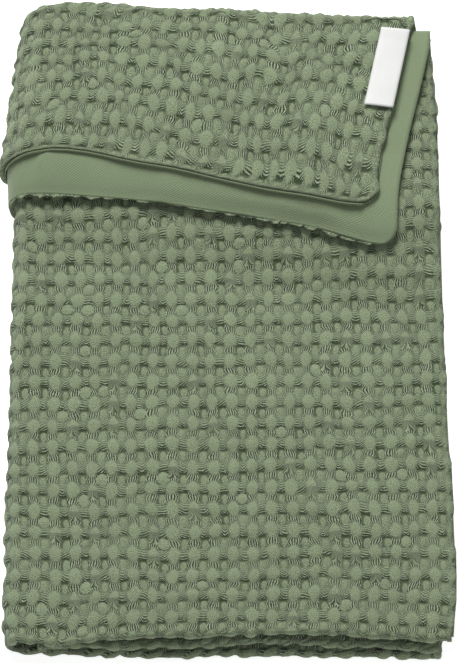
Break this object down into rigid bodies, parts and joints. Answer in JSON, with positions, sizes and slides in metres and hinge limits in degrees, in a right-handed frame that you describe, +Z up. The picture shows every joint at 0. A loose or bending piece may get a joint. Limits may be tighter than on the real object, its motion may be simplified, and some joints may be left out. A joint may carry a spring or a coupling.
{
  "type": "folded waffle weave cotton blanket",
  "caption": "Double-faced cot blanket, puffy waffle face and smooth lining, folded in half and lengthwise in a flat stack, with its top ends turned down as a cuff and a blank label.",
  "frame": {"origin": "on the surface that the folded blanket lies on, under the middle of its outline", "axes": "+Z up, +Y along the folded stack from its front crests to its cuff, +X from the long left turn to the free edge of the top third"},
  "size_m": [0.3478, 0.5568, 0.0574],
  "materials": {
    "waffle_cotton": "washed sage green cotton, puffy waffle weave, matte",
    "lining_cotton": "sage green cotton, fine plain twill, matte",
    "ribbon": "white woven ribbon, smooth, no print"
  },
  "bodies": {
    "root": {"waffle_cloth": "waffle_cotton", "lining_cloth": "lining_cotton", "label": "ribbon"}
  },
  "joints": []
}
